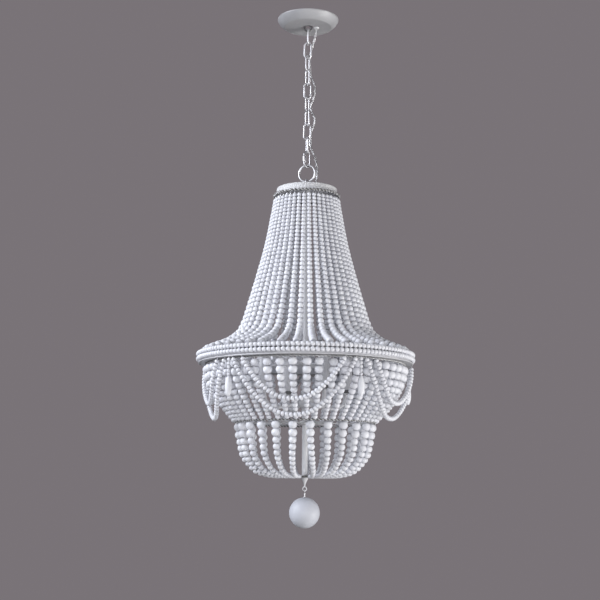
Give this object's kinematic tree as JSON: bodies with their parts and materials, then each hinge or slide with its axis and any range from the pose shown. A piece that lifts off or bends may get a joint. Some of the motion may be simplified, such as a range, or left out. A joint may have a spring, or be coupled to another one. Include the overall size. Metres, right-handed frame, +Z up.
{
  "type": "beaded chandelier",
  "caption": "White beaded chandelier on a short chain, with a flared upper tier, a bowl, a basket, swags, drops and a ball finial",
  "frame": {"origin": "middle of the top face of the mounting bar, in the plane of the ceiling", "axes": "+Z up, out of the mounting face; the chain and the rod lie on Z; -Y is the front of the picture, +X its right"},
  "size_m": [0.4494, 0.4494, 1.0723],
  "materials": {
    "beads": "white lacquer, satin",
    "white_paint": "white paint, satin",
    "canopy_paint": "pale grey paint, satin",
    "chain_metal": "silvery white paint, gloss",
    "dark_wire": "dull dark grey wire",
    "zinc_steel": "zinc plated",
    "cord_sheath": "clear sheath over bright wire",
    "clear_plastic": "pale, gloss",
    "dark_plastic": "black, matt"
  },
  "bodies": {
    "ceiling": {"mounting_bar": "zinc_steel", "ceiling_loop": "chain_metal", "supply_cord": "cord_sheath"},
    "canopy": {"canopy": "canopy_paint", "cord_grip": "clear_plastic", "grip_nut": "zinc_steel"},
    "chain_link_1": {"chain_link_1": "chain_metal"},
    "chain_link_2": {"chain_link_2": "chain_metal"},
    "chain_link_3": {"chain_link_3": "chain_metal"},
    "chain_link_4": {"chain_link_4": "chain_metal"},
    "chain_link_5": {"chain_link_5": "chain_metal"},
    "chain_link_6": {"chain_link_6": "chain_metal"},
    "chain_link_7": {"chain_link_7": "chain_metal"},
    "chain_link_8": {"chain_link_8": "chain_metal"},
    "chain_link_9": {"chain_link_9": "chain_metal"},
    "quick_link": {"quick_link": "zinc_steel"},
    "quick_link_nut": {"quick_link_nut": "zinc_steel"},
    "hanging_ring": {"hanging_ring": "chain_metal"},
    "fixture": {"crown_loop": "chain_metal", "crown_cap": "white_paint", "crown_hoop": "dark_wire", "stem_rod": "white_paint", "upper_strands": "beads", "rim_hoop": "white_paint", "rim_beads_upper": "beads", "rim_beads_lower": "beads", "middle_strands": "beads", "middle_hoop": "white_paint", "basket_strands": "beads", "bottom_plate": "dark_wire", "finial_eye": "white_paint", "lamp_spider": "white_paint", "candle_sleeve_1": "white_paint", "candle_sleeve_2": "white_paint", "candle_sleeve_3": "white_paint", "candle_sleeve_4": "white_paint", "lampholder_1": "dark_plastic", "lampholder_2": "dark_plastic", "lampholder_3": "dark_plastic", "lampholder_4": "dark_plastic"},
    "finial_ball": {"finial_ball": "beads"},
    "upper_swag_1": {"upper_swag_1": "beads"},
    "lower_swag_1": {"lower_swag_1": "beads"},
    "oval_drop_1": {"oval_drop_1": "beads"},
    "upper_swag_2": {"upper_swag_2": "beads"},
    "lower_swag_2": {"lower_swag_2": "beads"},
    "oval_drop_2": {"oval_drop_2": "beads"},
    "upper_swag_3": {"upper_swag_3": "beads"},
    "lower_swag_3": {"lower_swag_3": "beads"},
    "oval_drop_3": {"oval_drop_3": "beads"},
    "upper_swag_4": {"upper_swag_4": "beads"},
    "lower_swag_4": {"lower_swag_4": "beads"},
    "oval_drop_4": {"oval_drop_4": "beads"},
    "upper_swag_5": {"upper_swag_5": "beads"},
    "lower_swag_5": {"lower_swag_5": "beads"},
    "oval_drop_5": {"oval_drop_5": "beads"}
  },
  "joints": [
    {"name": "canopy_slide", "type": "slide", "parent": "ceiling", "child": "canopy", "axis": [0, 0, -1], "range_m": [0, 0.012]},
    {"name": "chain_link_1_swing", "type": "hinge", "parent": "ceiling", "child": "chain_link_1", "pos_m": [0, 0, -0.0257], "axis": [1, 0, 0], "range_deg": [-12, 12], "deforming": ["supply_cord"]},
    {"name": "chain_link_2_swing", "type": "hinge", "parent": "chain_link_1", "child": "chain_link_2", "pos_m": [0, 0, -0.05555], "axis": [0, 1, 0], "range_deg": [-12, 12]},
    {"name": "chain_link_3_swing", "type": "hinge", "parent": "chain_link_2", "child": "chain_link_3", "pos_m": [0, 0, -0.08545], "axis": [1, 0, 0], "range_deg": [-12, 12]},
    {"name": "chain_link_4_swing", "type": "hinge", "parent": "chain_link_3", "child": "chain_link_4", "pos_m": [0, 0, -0.11535], "axis": [0.5, 0.866, 0], "range_deg": [-12, 12]},
    {"name": "chain_link_5_swing", "type": "hinge", "parent": "chain_link_4", "child": "chain_link_5", "pos_m": [0, 0, -0.14525], "axis": [-0.5, 0.866, 0], "range_deg": [-12, 12]},
    {"name": "chain_link_6_swing", "type": "hinge", "parent": "chain_link_5", "child": "chain_link_6", "pos_m": [0, 0, -0.17515], "axis": [-1, 0, 0], "range_deg": [-12, 12]},
    {"name": "chain_link_7_swing", "type": "hinge", "parent": "chain_link_6", "child": "chain_link_7", "pos_m": [0, 0, -0.20505], "axis": [-0.5, -0.866, 0], "range_deg": [-12, 12]},
    {"name": "chain_link_8_swing", "type": "hinge", "parent": "chain_link_7", "child": "chain_link_8", "pos_m": [0, 0, -0.23495], "axis": [0.5, -0.866, 0], "range_deg": [-12, 12]},
    {"name": "chain_link_9_swing", "type": "hinge", "parent": "chain_link_8", "child": "chain_link_9", "pos_m": [0, 0, -0.26485], "axis": [1, 0, 0], "range_deg": [-12, 12]},
    {"name": "quick_link_swing", "type": "hinge", "parent": "chain_link_9", "child": "quick_link", "pos_m": [0, 0, -0.29475], "axis": [-0.1736, 0.9848, 0], "range_deg": [-12, 12]},
    {"name": "quick_link_nut_turn", "type": "hinge", "parent": "quick_link", "child": "quick_link_nut", "pos_m": [-0.00561, -0.00471, -0.3079], "axis": [0, 0, 1], "continuous": true},
    {"name": "hanging_ring_swing", "type": "hinge", "parent": "quick_link", "child": "hanging_ring", "pos_m": [0, 0, -0.3251], "axis": [0.766, 0.6428, 0], "range_deg": [-15, 15]},
    {"name": "fixture_swing", "type": "hinge", "parent": "hanging_ring", "child": "fixture", "pos_m": [0, 0, -0.35625], "axis": [0.9397, -0.342, 0], "range_deg": [-8, 8]},
    {"name": "finial_ball_swing", "type": "hinge", "parent": "fixture", "child": "finial_ball", "pos_m": [0, 0, -0.9973], "axis": [1, 0, 0], "range_deg": [-25, 25]},
    {"name": "upper_swag_1_swing", "type": "hinge", "parent": "fixture", "child": "upper_swag_1", "pos_m": [-0.02426, -0.19202, -0.7432], "axis": [-0.9921, 0.1253, 0], "range_deg": [0, 28]},
    {"name": "lower_swag_1_swing", "type": "hinge", "parent": "fixture", "child": "lower_swag_1", "pos_m": [-0.02281, -0.18056, -0.7432], "axis": [-0.9921, 0.1253, 0], "range_deg": [0, 28]},
    {"name": "oval_drop_1_swing", "type": "hinge", "parent": "fixture", "child": "oval_drop_1", "pos_m": [0.10454, -0.19016, -0.7423], "axis": [-0.8763, -0.4818, 0], "range_deg": [-4, 30]},
    {"name": "upper_swag_2_swing", "type": "hinge", "parent": "fixture", "child": "upper_swag_2", "pos_m": [0.17512, -0.08241, -0.7432], "axis": [-0.4258, -0.9048, 0], "range_deg": [0, 28]},
    {"name": "lower_swag_2_swing", "type": "hinge", "parent": "fixture", "child": "lower_swag_2", "pos_m": [0.16468, -0.07749, -0.7432], "axis": [-0.4258, -0.9048, 0], "range_deg": [0, 28]},
    {"name": "oval_drop_2_swing", "type": "hinge", "parent": "fixture", "child": "oval_drop_2", "pos_m": [0.21316, 0.04066, -0.7423], "axis": [0.1874, -0.9823, 0], "range_deg": [-4, 30]},
    {"name": "upper_swag_3_swing", "type": "hinge", "parent": "fixture", "child": "upper_swag_3", "pos_m": [0.13249, 0.14109, -0.7432], "axis": [0.729, -0.6845, 0], "range_deg": [0, 28]},
    {"name": "lower_swag_3_swing", "type": "hinge", "parent": "fixture", "child": "lower_swag_3", "pos_m": [0.12459, 0.13267, -0.7432], "axis": [0.729, -0.6845, 0], "range_deg": [0, 28]},
    {"name": "oval_drop_3_swing", "type": "hinge", "parent": "fixture", "child": "oval_drop_3", "pos_m": [0.0272, 0.21529, -0.7423], "axis": [0.9921, -0.1253, 0], "range_deg": [-4, 30]},
    {"name": "upper_swag_4_swing", "type": "hinge", "parent": "fixture", "child": "upper_swag_4", "pos_m": [-0.09324, 0.1696, -0.7432], "axis": [0.8763, 0.4818, 0], "range_deg": [0, 28]},
    {"name": "lower_swag_4_swing", "type": "hinge", "parent": "fixture", "child": "lower_swag_4", "pos_m": [-0.08768, 0.15948, -0.7432], "axis": [0.8763, 0.4818, 0], "range_deg": [0, 28]},
    {"name": "oval_drop_4_swing", "type": "hinge", "parent": "fixture", "child": "oval_drop_4", "pos_m": [-0.19635, 0.09239, -0.7423], "axis": [0.4258, 0.9048, 0], "range_deg": [-4, 30]},
    {"name": "upper_swag_5_swing", "type": "hinge", "parent": "fixture", "child": "upper_swag_5", "pos_m": [-0.19012, -0.03627, -0.7432], "axis": [-0.1874, 0.9823, 0], "range_deg": [0, 28]},
    {"name": "lower_swag_5_swing", "type": "hinge", "parent": "fixture", "child": "lower_swag_5", "pos_m": [-0.17877, -0.0341, -0.7432], "axis": [-0.1874, 0.9823, 0], "range_deg": [0, 28]},
    {"name": "oval_drop_5_swing", "type": "hinge", "parent": "fixture", "child": "oval_drop_5", "pos_m": [-0.14855, -0.15819, -0.7423], "axis": [-0.729, 0.6845, 0], "range_deg": [-4, 30]}
  ]
}
